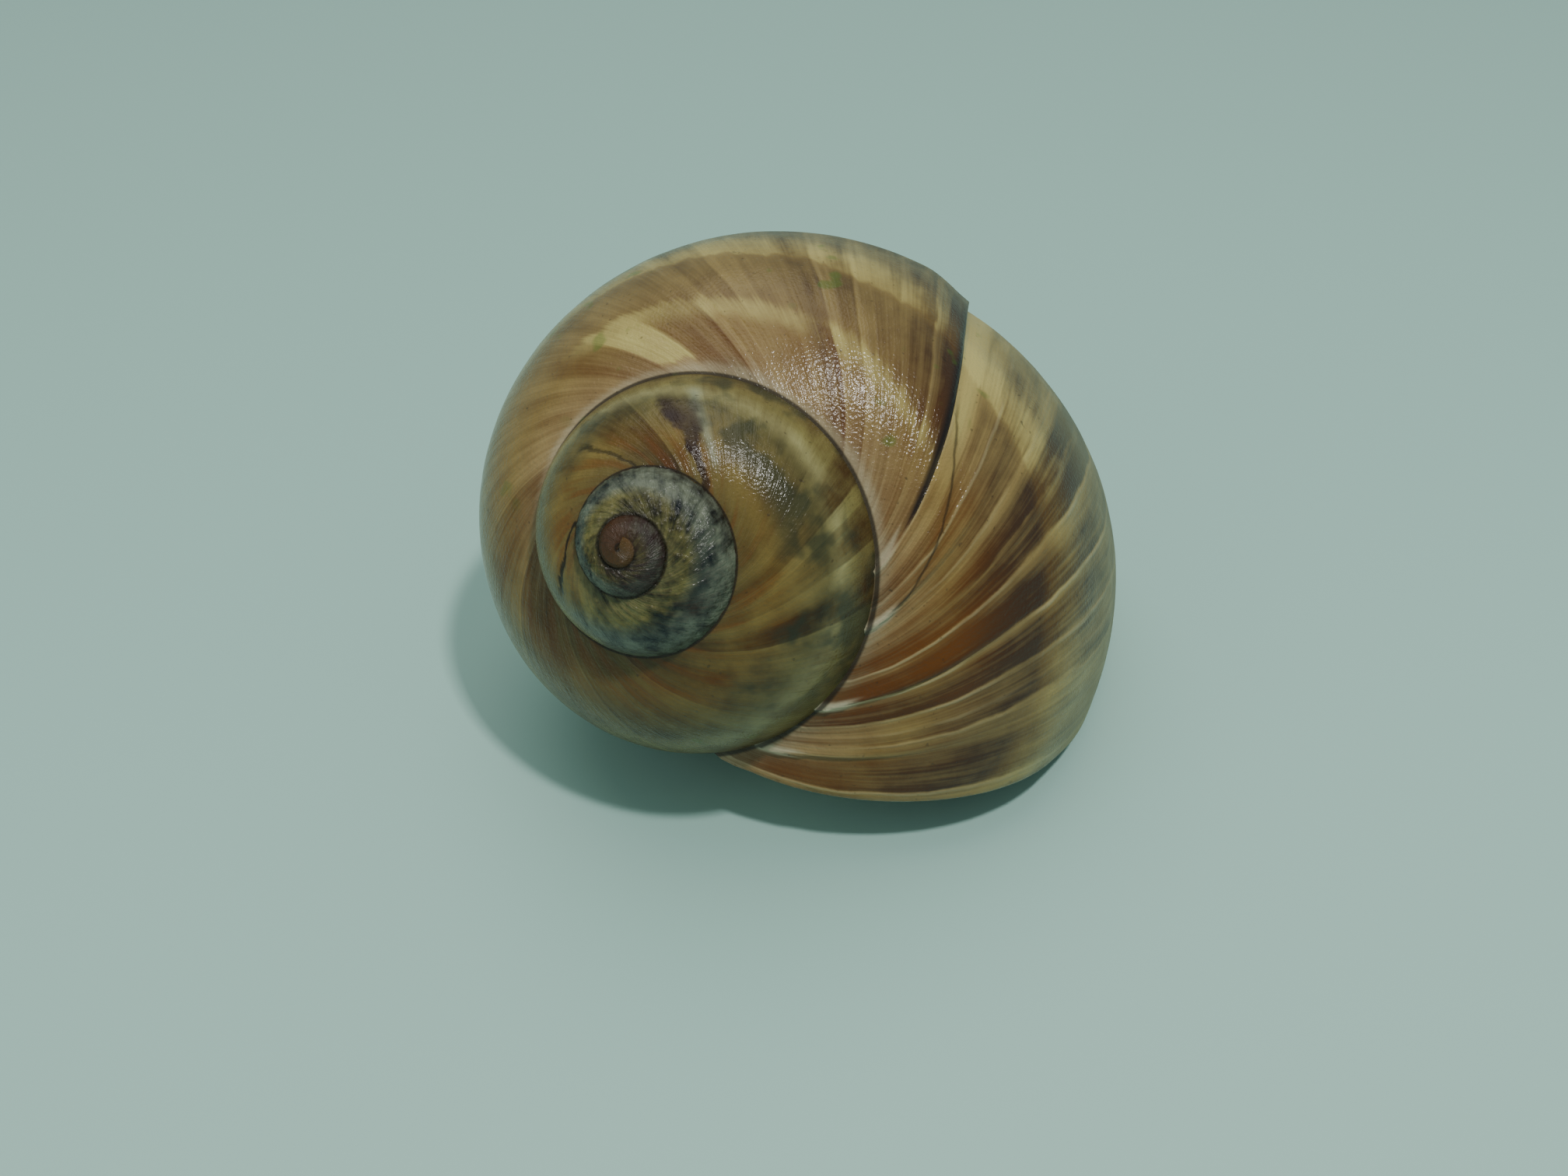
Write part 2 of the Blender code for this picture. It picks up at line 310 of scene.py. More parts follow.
def shellTree():
    tree = bpy.data.node_groups.new("growShell", "GeometryNodeTree")
    net = Net(tree)
    kinds = {int: "NodeSocketInt", float: "NodeSocketFloat"}
    for name, value in shell.items():
        socket = tree.interface.new_socket(name, in_out="INPUT", socket_type=kinds[type(value)])
        socket.default_value = value
    tree.interface.new_socket("Material", in_out="INPUT", socket_type="NodeSocketMaterial")
    tree.interface.new_socket("Geometry", in_out="OUTPUT", socket_type="NodeSocketGeometry")
    inputs = net.add("NodeGroupInput")
    give = {socket.name: Field(net, socket) for socket in inputs.outputs if socket.name}

    rowCount = give["Outer Rows"] + give["Lip Rows"] + give["Inner Rows"]
    grid = net.field("GeometryNodeMeshGrid", 0, None,
                     {0: 1.0, 1: 1.0, 2: rowCount + 1.0, 3: give["Columns"] + 1.0})
    place = net.add("ShaderNodeSeparateXYZ", None,
                    {0: net.field("GeometryNodeInputPosition")})
    row = (Field(net, place.outputs[0]) + 0.5) * rowCount
    around = Field(net, place.outputs[1]) + 0.5
    first = row.below(0.5)
    last = row.above(rowCount - 0.5)

    # Rows run down the outside to the lip, over it, and back up the hollow.
    fromLip = (1.0 - row / give["Outer Rows"]).least(0.0)
    outerAge = rowSpread[0] * ((fromLip * rowSpread[1]).exp() - 1.0)
    over = ((row - give["Outer Rows"]) / give["Lip Rows"]).least(0.0).most(1.0)
    inward = ((row - give["Outer Rows"] - give["Lip Rows"]) / give["Inner Rows"]).least(0.0)
    age = outerAge + give["Hollow"] * inward
    side = 0.5 - 0.5 * (over * math.pi).cos()

    # Columns run down the arc, up the navel or the pillar, and back inside the whorl before.
    onArc = (around / arcShare).most(1.0)
    onArc = onArc * (1.0 - crowding + crowding * onArc)
    onNavel = ((around - arcShare) / navelShare).least(0.0).most(1.0)
    onChord = ((around - arcShare - navelShare) / (1.0 - arcShare - navelShare)).least(0.0)
    drift = give["Navel Drift"] * age
    rimWay = (give["Rim Way"] + drift).toward(ends["rim inner way"], age.rise(*ends["rim turns in"]))
    footWay = give["Foot Way"] + drift
    outerWay = give["Buried Way"] + (rimWay - give["Buried Way"]) * onArc
    innerWay = give["Buried Way"] + (footWay - give["Buried Way"]) * onArc
    innerWay = innerWay.toward(ends["hollow end way"], last)
    outerTurn = -age - lagAt(give, outerWay)
    innerTurn = -age - lagAt(give, innerWay)
    scale = (outerTurn * (give["Radius Growth"] + give["Radius Slowing"] * outerTurn)).exp()
    wall = (give["Wall"] - (give["Wall"] - give["Lip Wall"]) * (-age / give["Lip Taper"]).exp()) * scale
    wall = wall * innerWay.rise(give["Buried Way"], 0.0)

    none = age * 0.0                    # 0 in every place
    startOut, startUp, *unused, length = whorlPoint(give, -age, none + give["Buried Way"], age, none)
    outerOut, outerUp, onOut, onUp, *unused = whorlPoint(
        give, outerTurn, outerWay, age, reliefAt(net, give, outerWay, age, scale) * (1.0 - side))
    innerOut, innerUp, inOut, inUp, *unused = whorlPoint(
        give, innerTurn, innerWay, age, -wall.toward(length * ends["hollow end depth"], last))
    before = -age - give["Lip Lag"] - give["Base Lag"] - 1.0 + whorlLead
    topOut, topUp, *unused = whorlPoint(give, before, rimWay + give["Navel Drift"], none + 1.0, none)
    # The first whorls have none inside them, so they reach in to the axis.
    reached = age.rise(*ends["axis reach"])
    startOut = startOut * (1.0 - reached)
    cover = ((ends["cover way"] - outerWay) / (ends["cover way"] - give["Buried Way"])).least(0.0)
    outerOut = outerOut * (1.0 - reached * cover)

    def section(out, up, alongOut, alongUp, rounding, endOut, endUp):
        def bend(begin, middle, end):
            turned = begin * (1.0 - onNavel) * (1.0 - onNavel) \
                + middle * (2.0 * onNavel * (1.0 - onNavel)) + end * onNavel * onNavel
            return turned.toward(0.0, onChord)
        size = rounding * scale
        return (bend(out, out + alongOut * size, endOut) + startOut * onChord,
                bend(up, up + alongUp * size, endUp) + startUp * onChord)

    outerOut, outerUp = section(outerOut, outerUp, onOut, onUp, give["Rim Rounding"],
                                topOut - give["Pillar Top Out"] * scale,
                                topUp - give["Pillar Top Up"] * scale)
    innerSection = section(innerOut, innerUp, inOut, inUp, give["Foot Rounding"], topOut, topUp)
    innerOut = innerSection[0].toward(innerOut, last)
    innerUp = innerSection[1].toward(innerUp, last)

    def spun(out, up, turn):
        turn = (turn + whorlLead * onNavel * (1.0 - last)).toward(-age, onChord * (1.0 - last))
        angle = turn * (-2.0 * math.pi)
        return net.vector(out * angle.cos(), out * angle.sin(), up), angle

    outerPoint, outerAngle = spun(outerOut, outerUp, outerTurn)
    innerPoint = spun(innerOut, innerUp, innerTurn)[0]

    gap = net.vectorMath("SUBTRACT", innerPoint, outerPoint)
    thick = net.field("ShaderNodeVectorMath", 1, {"operation": "LENGTH"}, {0: gap})
    ahead = net.vector(outerAngle.sin(), -outerAngle.cos(), 0.0)
    bulge = (thick * 0.5).most(give["Lip Bulge"]) * (over * math.pi).sin()
    point = net.vectorMath("ADD", outerPoint, net.vectorMath("SCALE", gap, side))
    point = net.vectorMath("ADD", point, net.vectorMath("SCALE", ahead, bulge))
    apexUp = sutureAt(give, -give["Oldest"] - ends["apex beyond"])[1]
    point = net.vectorMath("ADD", net.vectorMath("SCALE", point, 1.0 - first),
                           net.vector(0.0, 0.0, apexUp * first))

    # Where each corner is on the shell goes with the mesh, for the finish to read.
    way = outerWay + onNavel * ends["navel way"] + onChord * ends["chord way"]
    stored = net.field("GeometryNodeStoreNamedAttribute", 0,
                       {"data_type": "FLOAT2", "domain": "CORNER"},
                       {"Geometry": grid, "Name": "growth",
                        "Value": net.vector(way / 100.0, age, 0.0)})
    stored = net.field("GeometryNodeStoreNamedAttribute", 0,
                       {"data_type": "FLOAT2", "domain": "CORNER"},
                       {"Geometry": stored, "Name": "side",
                        "Value": net.vector(side, around, 0.0)})
    moved = net.field("GeometryNodeSetPosition", 0, None, {"Geometry": stored, "Position": point})
    welded = net.field("GeometryNodeMergeByDistance", 0, None, {"Geometry": moved, "Distance": ends["weld"]})
    smooth = net.field("GeometryNodeSetShadeSmooth", 0, None, {"Geometry": welded})
    real = net.field("GeometryNodeRealizeInstances", 0, None, {"Geometry": smooth})
    done = net.field("GeometryNodeSetMaterial", 0, None,
                     {"Geometry": real, "Material": give["Material"]})
    net.add("NodeGroupOutput", None, {0: done})
    return tree


def growShell(material):
    tree = shellTree()
    seed = bpy.data.objects.new("shellSeed", bpy.data.meshes.new("shellSeed"))
    bpy.context.collection.objects.link(seed)
    grow = seed.modifiers.new("grow", "NODES")
    grow.node_group = tree
    for item in tree.interface.items_tree:
        if item.in_out == "INPUT":
            grow[item.identifier] = material if item.name == "Material" else shell[item.name]
    bpy.context.view_layer.update()
    graph = bpy.context.evaluated_depsgraph_get()
    mesh = bpy.data.meshes.new_from_object(
        seed.evaluated_get(graph), preserve_all_data_layers=True, depsgraph=graph)
    bpy.data.objects.remove(seed)
    mesh.name = "shellSkin"
    turned = lean.to_matrix().to_4x4()
    growth = apexTurn * (shell["Drop Growth"] + shell["Drop Slowing"] * apexTurn)
    apex = Vector((0.0, 0.0, -shell["Suture Drop"] * math.exp(growth)))
    mesh.transform(Matrix.Translation(apexAt - turned @ apex) @ turned)
    for point in mesh.vertices:         # worn flat by a hair where it rests
        point.co.z = max(point.co.z, 0.0)
    return mesh


def hue(red, green, blue):      # a colour as a screen shows it, made linear
    return (*[((part / 255.0 + 0.055) / 1.055) ** 2.4 for part in (red, green, blue)], 1.0)


# Flames are the streaks left along old lips. Each starts hard and fades towards the older side:
# ages of its start and end, then how dark it is above, between and below the pale spiral bands.
flames = (
    (0.008, 0.034, 0.70, 0.85, 0.50), (0.037, 0.047, 0.30, 0.40, 0.40), (0.050, 0.060, 0.55, 0.85, 0.62),
    (0.060, 0.072, 0.52, 0.62, 0.60), (0.072, 0.091, 0.90, 0.95, 0.75), (0.096, 0.117, 0.97, 1.00, 0.72),
    (0.124, 0.140, 0.80, 0.92, 0.90), (0.141, 0.155, 0.42, 0.88, 0.95), (0.164, 0.190, 0.50, 0.66, 0.50),
    (0.190, 0.203, 0.68, 0.32, 0.25), (0.204, 0.220, 0.30, 0.02, 0.00), (0.221, 0.238, 0.62, 0.98, 0.95),
    (0.242, 0.262, 0.48, 0.66, 0.70), (0.264, 0.287, 0.46, 0.52, 0.60), (0.294, 0.306, 0.54, 0.58, 0.55),
    (0.316, 0.339, 0.76, 0.64, 0.65), (0.344, 0.367, 0.34, 0.40, 0.50), (0.378, 0.407, 0.26, 0.48, 0.60),
    (0.410, 0.452, 0.62, 0.40, 0.55), (0.457, 0.491, 0.10, 0.38, 0.52), (0.494, 0.530, 0.54, 0.32, 0.50),
    (0.535, 0.590, 0.30, 0.34, 0.55), (0.594, 0.652, 0.22, 0.34, 0.45), (0.656, 0.725, 0.58, 0.50, 0.60),
    (0.740, 0.825, 0.70, 0.60, 0.70), (0.840, 0.935, 0.60, 0.58, 0.58), (0.945, 1.030, 0.75, 0.50, 0.50),
    (1.047, 1.078, 0.72, 0.80, 0.75), (1.098, 1.124, 0.50, 0.50, 0.80), (1.130, 1.141, 0.40, 0.05, 0.00),
    (1.144, 1.170, 0.62, 0.55, 0.82), (1.190, 1.245, 0.45, 0.50, 0.30), (1.318, 1.336, 0.25, 0.05, 0.15),
    (1.405, 1.480, 0.68, 0.62, 0.40), (1.520, 1.660, 0.25, 0.35, 0.45),
)
# Colours against the way round the whorl, from pale to dark, and single ones.
tint = {
    "pale": ((0, hue(152, 134, 106)), (3, hue(148, 123, 84)), (12, hue(142, 118, 70)),
             (20, hue(142, 120, 76)), (30, hue(140, 118, 72)), (35, hue(160, 142, 88)),
             (41, hue(150, 138, 92)), (50, hue(138, 120, 70)), (75, hue(126, 106, 54)),
             (110, hue(146, 132, 86)), (160, hue(182, 168, 126))),
    "dark": ((0, hue(92, 76, 52)), (3, hue(76, 45, 24)), (12, hue(72, 42, 18)),
             (18, hue(64, 40, 23)), (29.5, hue(58, 40, 29)), (32, hue(80, 56, 29)),
             (38, hue(82, 64, 38)), (45, hue(58, 46, 36)), (75, hue(34, 25, 14)),
             (110, hue(54, 36, 20)), (160, hue(116, 92, 56))),
    "olderPale": ((0, hue(98, 84, 46)), (12, hue(122, 102, 54)), (30, hue(112, 102, 62)),
                  (37, hue(146, 138, 94)), (44, hue(126, 116, 68)), (60, hue(104, 90, 50)),
                  (110, hue(150, 138, 98)), (160, hue(170, 160, 122))),
    "olderDark": ((0, hue(48, 32, 15)), (12, hue(70, 42, 12)), (30, hue(44, 34, 17)),
                  (38, hue(76, 58, 27)), (50, hue(60, 38, 15)), (110, hue(66, 50, 30)),
                  (160, hue(110, 90, 58))),
    "youngPale": ((0, hue(102, 96, 62)), (16, hue(110, 102, 58)), (28, hue(106, 109, 94)),
                  (60, hue(98, 102, 86))),
    "youngDark": ((0, hue(34, 28, 17)), (16, hue(32, 29, 17)), (26, hue(14, 18, 24)),
                  (40, hue(18, 22, 25)), (60, hue(34, 29, 20))),
    "cream": hue(184, 168, 104), "cloud": hue(34, 42, 32), "scar": hue(40, 22, 17),
    # The break colour is the dark of the painted shade at the break's step.
    "crack": hue(22, 16, 12), "break": hue(20, 18, 22), "first": hue(46, 29, 27),
    "tip": hue(196, 184, 156), "bud": hue(66, 38, 20), "algae": hue(58, 96, 26),
    "fleck": hue(34, 24, 14), "inside": hue(120, 112, 78), "insideDeep": hue(160, 152, 122),
    # The seam colour paints the seam's dark line with its painted soft shadow, and the painted shade in the
    # suture crease.
    "rim": hue(166, 114, 58), "callus": hue(216, 212, 198), "seamAndShade": hue(30, 21, 14),
    "orange": hue(106, 60, 18), "budPale": hue(84, 60, 33), "frost": hue(140, 150, 134),
    "line": hue(166, 152, 120), "murk": hue(12, 18, 24),
}


# Noise in space: scale, detail, roughness, seed. Every noise that the finish reads is centred on 0.
spotGrains = {
    "waver": (160.0, 2.0, 0.5, 1.0), "patch": (420.0, 3.0, 0.6, 4.0), "pocks": (1300.0, 2.0, 0.6, 15.0),
    "clouds": (230.0, 3.0, 0.55, 5.0), "algae": (520.0, 1.0, 0.4, 6.0), "areas": (90.0, 1.0, 0.4, 8.0),
    "flecks": (2600.0, 1.0, 0.5, 9.0), "pits": (4300.0, 1.0, 0.5, 12.0), "bumps": (900.0, 3.0, 0.6, 14.0),
}
growthSeeds = {"coarse": 3.0, "medium": 13.0, "fine": 2.0, "jag": 7.0, "spirals": 11.0}
# How far the noises move what is drawn on the shell, in degrees of way and in turns of age.
wayWander = {"waver": 6.0, "medium": 5.0, "fine": 2.0}
ageWander = {"waver": 0.008, "patch": 0.002}
# Stretches that the finish shares. A pair is where each starts and where it is complete.
stretches = {
    "calm ages": (0.30, 0.18), "fresh ages": (0.26, 0.18), "old ages": (0.75, 1.0),
    "dots": (0.18, 0.28), "glaze ways": (59.0, 63.0), "glaze ages": (0.82, 0.87),
}


def wander(at, field, reach):
    for name, share in reach.items():
        field = field + getattr(at, name) * share
    return field


def readShell(net):
    # Where a point is on the shell, with the noises and the stretches that the finish shares.
    spot = net.field("ShaderNodeTexCoord", "Object")
    growth = net.add("ShaderNodeSeparateXYZ", None,
                     {0: net.field("ShaderNodeUVMap", 0, {"uv_map": "growth"})})
    edge = net.add("ShaderNodeSeparateXYZ", None,
                   {0: net.field("ShaderNodeUVMap", 0, {"uv_map": "side"})})
    at = SimpleNamespace(way=Field(net, growth.outputs[0]) * 100.0, age=Field(net, growth.outputs[1]),
                         side=Field(net, edge.outputs[0]))
    for name, grain in spotGrains.items():
        setattr(at, name, net.noise(spot, *grain) - 0.5)
    for name, seed in growthSeeds.items():
        setattr(at, name, growthNoise(net, name, at.age, at.way, seed))
    at.none = at.way * 0.0                                  # 0 everywhere, to add to
    at.wayHere = wander(at, at.way, wayWander)
    at.ageHere = wander(at, at.age, ageWander)
    at.calm = at.age.rise(*stretches["calm ages"])          # near the lip
    at.fresh = at.age.rise(*stretches["fresh ages"])        # since the break
    at.old = at.age.rise(*stretches["old ages"])            # from the whorl before the last on
    at.worn = at.age.rise(*marks["worn ages"])
    at.dotted = at.flecks.rise(*stretches["dots"])
    at.glazed = at.way.rise(*stretches["glaze ways"]) * at.age.rise(*stretches["glaze ages"]) \
        * (1.0 - at.side)
    return at


# How the flames are drawn, with a pale line along the young edge of the darker ones.
streaks = {
    "ground": (0.30, 0.30, 0.36), "softness": 0.4, "edge": (-0.0008, 0.0016),
    "between ways": (10.0, 20.0), "below ways": (28.0, 40.0),
    "line from": 0.45, "line place": 0.0014, "line edge": (0.0018, 0.0003), "line gain": 1.4,
    "line when old": 0.25, "line gaps": (-0.15, 0.1), "line coarse": 0.5, "line lift": 0.25,
    "coarse": 0.6, "wild ways": (50.0, 90.0), "wild ages": (1.6, 1.9),
    "early ages": (1.7, 1.9), "early depth": 0.12, "early patch": 0.9, "early pocks": 1.2,
    "middle": 0.45, "contrast": 1.2,
}
# How much each noise sways the depth: everywhere, more near the lip, more on the older whorls.
sways = {"medium": (0.55, 0.2, -0.25), "fine": (0.34, 0.4, -0.12), "patch": (0.5, 0.0, 0.5)}


def streakDepth(net, at):
    dark = net.vector(*streaks["ground"])
    line = at.none
    for start, end, above, between, below in flames:
        front = at.ageHere - start
        length = end - start
        soft = length * streaks["softness"]
        share = front.rise(*streaks["edge"]) * front.rise(length + soft, length - soft)
        dark = net.field("ShaderNodeMix", 1, {"data_type": "VECTOR"},
                         {0: share, 4: dark, 5: (above, between, below)})
        if above > streaks["line from"]:
            strength = above * streaks["line gain"] - (streaks["line gain"] - 1.0)
            line = line.least((front + streaks["line place"]).size().rise(*streaks["line edge"]) * strength)
    zones = net.add("ShaderNodeSeparateXYZ", None, {0: dark})
    above, between, below = [Field(net, output) for output in zones.outputs]
    depth = above.toward(between, at.wayHere.rise(*streaks["between ways"]))
    depth = depth.toward(below, at.wayHere.rise(*streaks["below ways"]))
    line = line * (streaks["line when old"] + at.fresh * (1.0 - streaks["line when old"]))
    line = line * (at.coarse * streaks["line coarse"] + at.waver).rise(*streaks["line gaps"])

    wilder = at.way.rise(*streaks["wild ways"]).least(at.age.rise(*streaks["wild ages"]))
    depth = depth + at.coarse * (streaks["coarse"] + wilder)
    for name, (plain, nearLip, whenOld) in sways.items():
        depth = depth + getattr(at, name) * (plain + at.calm * nearLip + at.old * whenOld)
    early = streaks["early depth"] + at.patch * streaks["early patch"] + at.pocks * streaks["early pocks"]
    depth = depth + at.age.rise(*streaks["early ages"]) * early
    middle = streaks["middle"]
    depth = (depth - line * streaks["line lift"] - middle) * streaks["contrast"] + middle
    return depth.least(0.0).most(1.0), line


# Pale spiral bands: the ways where each begins and ends, then the ages where it begins and ends.
bands = (
    ((11.0, 14.5), (18.0, 15.5), (0.215, 0.235), (0.53, 0.47)),
    ((2.5, 4.0), (18.0, 16.0), (0.452, 0.458), (0.4935, 0.491)),
    ((31.0, 32.5), (43.0, 38.0), (0.135, 0.17), (0.55, 0.42)),
)
# Colour laid over the last whorl's streaks. Single numbers are shares of the colour.
lastLook = {
    "orange ways": (26.0, 12.0), "orange noise": (-0.20, 0.15), "orange": 0.35, "fresh orange": 0.3,
    "band": 1.1, "band lost in dark": 1.4, "band cream": 0.7, "band coarse": 0.5,
    "after break ages": (0.201, 0.210), "after break ways": (17.0, 25.0), "after break waver": 12.0,
    "after break cream": 0.5, "line ways": (90.0, 30.0), "line": 0.5,
    "low ways": (40.0, 62.0), "low end ways": (125.0, 90.0), "low cream": 0.17,
}


def lastWhorlColour(net, at, depth, line):
    look = lastLook
    colour = net.mix(net.ramp(at.wayHere, tint["pale"]), net.ramp(at.wayHere, tint["dark"]), depth)
    orange = at.way.rise(*look["orange ways"]) * at.coarse.rise(*look["orange noise"]) * depth
    colour = net.mix(colour, tint["orange"], orange * (look["orange"] + at.fresh * look["fresh orange"]))
    banded = at.none
    for beginWays, endWays, beginAges, endAges in bands:
        band = at.wayHere.rise(*beginWays) * at.wayHere.rise(*endWays) \
            * at.age.rise(*beginAges) * at.age.rise(*endAges)
        banded = banded.least(band)
    banded = banded * (look["band"] - depth * look["band lost in dark"])
    uneven = look["band cream"] + at.medium + at.coarse * look["band coarse"]
    colour = net.mix(colour, tint["cream"], banded * uneven)
    afterBreak = at.age.rise(*look["after break ages"]) * at.age.below(marks["break edge"]) \
        * (at.way + at.waver * look["after break waver"]).rise(*look["after break ways"])
    colour = net.mix(colour, tint["cream"], afterBreak * (look["after break cream"] + at.medium))
    colour = net.mix(colour, tint["line"], line * at.way.rise(*look["line ways"]) * look["line"])
    lowDown = at.way.rise(*look["low ways"]) * at.way.rise(*look["low end ways"])
    return net.mix(colour, tint["cream"], at.calm * lowDown * look["low cream"])


# Over the older whorls, down to the tip. "at" pairs are a middle and a width.
olderLook = {
    "orange ways": (24.0, 8.0), "orange noise": (-0.04, 0.12), "orange": 0.45,
    "frost at age": (1.327, 0.014), "frost patch": 0.02, "frost ways": (6.0, 12.0),
    "frost end ways": (44.0, 34.0), "frost": 0.4,
}
earlyLook = {
    "spread": 30.0, "murk at way": (25.0, 13.0), "murk at age": (2.03, 0.24), "murk patch": 0.3,
    "murk": 0.7, "rust at way": (32.0, 16.0), "rust at age": (2.005, 0.04), "rust patch": 0.05,
    "rust": 0.8,
}


def olderWhorlColour(net, at, depth):
    look = olderLook
    colour = net.mix(net.ramp(at.wayHere, tint["olderPale"]), net.ramp(at.wayHere, tint["olderDark"]),
                     depth)
    orange = at.way.rise(*look["orange ways"]) * at.coarse.rise(*look["orange noise"])
    colour = net.mix(colour, tint["orange"], orange * look["orange"])
    frost = (at.age + at.patch * look["frost patch"]).peak(*look["frost at age"]) \
        * at.way.rise(*look["frost ways"]) * at.way.rise(*look["frost end ways"])
    return net.mix(colour, tint["frost"], frost * look["frost"])


def earlyWhorlColour(net, at, depth):
    look = earlyLook
    colour = net.mix(net.ramp(at.wayHere, tint["youngPale"]), net.ramp(at.wayHere, tint["youngDark"]),
                     depth)
    spread = at.way + at.patch * look["spread"]
    murk = spread.peak(*look["murk at way"]) \
        * (at.age + at.patch * look["murk patch"]).peak(*look["murk at age"])
    colour = net.mix(colour, tint["murk"], murk * look["murk"])
    rusty = (at.age + at.patch * look["rust patch"]).peak(*look["rust at age"]) \
        * spread.peak(*look["rust at way"])
    return net.mix(colour, tint["scar"], rusty * look["rust"])


# Where one whorl's colours pass into the next one's, and the clouds and the old scar there.
joins = {
    "older ages": (0.62, 0.90), "older patch": 0.2,
    "cloud noise": (-0.03, 0.10), "cloud ages": (0.92, 1.0), "cloud end ages": (1.75, 1.4),
    "cloud ways": (8.0, 20.0), "cloud": 0.7,
    "scar age": 1.353, "scar jag": 0.012, "scar patch": 0.05, "scar width": 0.45,
    "scar widening": 0.75, "scar widening ways": (0.0, 26.0), "scar edge": (0.024, 0.010),
    "scar ways": (38.0, 26.0), "scar": 0.85,
    "early ages": (1.665, 1.845), "early patch": 0.3, "early clouds": 0.15,
    "ring ages": (2.72, 2.90), "ring patch": 0.1, "ring": 0.75,
    "pale bud ages": (3.45, 4.2), "bud ages": (3.2, 3.45),
}


def whorlColours(net, at, last, older, early):
    # The whorls in turn, from the last to the tip.
    look = joins
    colour = net.mix(last, older, (at.age + at.patch * look["older patch"]).rise(*look["older ages"]))
    cloudy = at.clouds.rise(*look["cloud noise"]) * at.age.rise(*look["cloud ages"]) \
        * at.age.rise(*look["cloud end ages"]) * at.way.rise(*look["cloud ways"])
    colour = net.mix(colour, tint["cloud"], cloudy * look["cloud"])
    scarAge = look["scar age"] + at.jag * look["scar jag"] + at.patch * look["scar patch"]
    scarWidth = look["scar width"] + at.wayHere.rise(*look["scar widening ways"]) * look["scar widening"]
    scarred = ((at.age - scarAge).size() / scarWidth).rise(*look["scar edge"]) \
        * at.wayHere.rise(*look["scar ways"])
    colour = net.mix(colour, tint["scar"], scarred * (look["scar"] + at.patch))
    earlier = at.age + at.patch * look["early patch"] + at.clouds * look["early clouds"]
    colour = net.mix(colour, early, earlier.rise(*look["early ages"]))
    ring = (at.age + at.patch * look["ring patch"]).rise(*look["ring ages"])
    colour = net.mix(colour, tint["first"], ring * (look["ring"] + at.coarse))
    bud = net.mix(tint["bud"], tint["budPale"], at.age.rise(*look["pale bud ages"]))
    return net.mix(colour, bud, at.age.rise(*look["bud ages"]))


markLook = {
    "break fade": (0.229, 0.2215), "break ways": (4.0, 9.0),
    "break end ways": (60.0, 34.0), "break": 0.9,
    "seam edge": (0.0030, 0.0003), "seam ways": (26.0, 20.0), "seamAndShade": 0.65,
    "crack edge": (0.007, 0.002), "crack": 0.6, "hook edge": (0.011, 0.003), "hook": 0.9,
}


def addMarks(net, at, colour):
    # The break's step and the seam after it get painted shade, the seam on top of its own dark line, and the
    # cracks are dark.
    look = markLook
    # Painted shade on the old shell's rounded edge just past the break, where its step falls away.
    breakStepShade = at.age.rise(*look["break fade"]) * at.age.above(marks["break edge"]) \
        * at.wayHere.rise(*look["break ways"]) * at.wayHere.rise(*look["break end ways"])
    colour = net.mix(colour, tint["break"], breakStepShade * look["break"])
    # The seam's own dark line, widened by a painted soft shadow beside its step.
    seamAndShade = (at.age - seamAt(at.way, at.jag)).size().rise(*look["seam edge"]) \
        * at.way.rise(*look["seam ways"])
    colour = net.mix(colour, tint["seamAndShade"], seamAndShade * look["seamAndShade"])
    crackAge = marks["crack age"] + at.jag * marks["crack jag"]
    crack = (at.age - crackAge).size().rise(*look["crack edge"]) * at.way.rise(*marks["crack ways"])
    hook = (at.age - hookAt(at.way, at.jag)).size().rise(*look["hook edge"]) \
        * at.way.rise(*marks["hook ways"])
    return net.mix(colour, tint["crack"], crack * look["crack"] + hook * look["hook"])


sutureLook = {
    "tip lean": 0.004, "tip edge": (0.009, 0.003), "tip ways": (4.2, 2.0), "tip medium": 6.0,
    "tip": 0.75, "pale ways": (2.6, 0.9), "pale waver": 3.0, "pale ages": (0.20, 0.24),
    "pale end ages": (0.75, 0.6), "pale": 0.18,
    # The hair keys set a dark hair of painted shade in the suture crease.
    "hair ages": (1.6, 3.2), "hair gain": 8.0, "hair edge": (0.7, 0.2), "next way": 58.4,
    "next edge": (1.2, 0.0), "next age": 0.86, "hair": 0.85,
}


def addSuture(net, at, colour):
    # The tips at the suture are pale, and so is a narrow edge between them.
    look = sutureLook
    tipped = at.none
    for tipAge, height in tips[1:]:
        tipped = tipped.least((at.age - tipAge - look["tip lean"]).size().rise(*look["tip edge"]) * height)
    tipped = tipped * (at.way + at.medium * look["tip medium"]).rise(*look["tip ways"])
    colour = net.mix(colour, tint["tip"], tipped * look["tip"])
    edged = (at.way + at.waver * look["pale waver"]).rise(*look["pale ways"]) \
        * at.age.rise(*look["pale ages"]) * at.age.rise(*look["pale end ages"])
    colour = net.mix(colour, tint["tip"], edged * look["pale"])

    # The suture crease gets a dark hair of painted shade, seen from both whorls that meet in it.
    thick = 1.0 + at.age.rise(*look["hair ages"]) * look["hair gain"]
    sutureCreaseShade = (at.way.size() / thick).rise(*look["hair edge"])
    nextSutureCreaseShade = ((at.way - look["next way"]).size() / thick).rise(*look["next edge"]) \
        * at.age.above(look["next age"])
    return net.mix(colour, tint["seamAndShade"], sutureCreaseShade.least(nextSutureCreaseShade) * look["hair"])


spotLook = {
    "algae noise": (0.14, 0.22), "algae areas": (-0.02, 0.08), "algae ages": (0.16, 0.20),
    "algae end ages": (1.0, 0.8), "algae": 0.42, "dots": 0.5,
}


def addSpots(net, at, colour):
    # Algae in a few spots and fine dark flecks all over.
    look = spotLook
    algae = at.algae.rise(*look["algae noise"]) * at.areas.rise(*look["algae areas"]) \
        * at.age.rise(*look["algae ages"]) * at.age.rise(*look["algae end ages"])
    colour = net.mix(colour, tint["algae"], algae * look["algae"])
    return net.mix(colour, tint["fleck"], at.dotted * look["dots"])


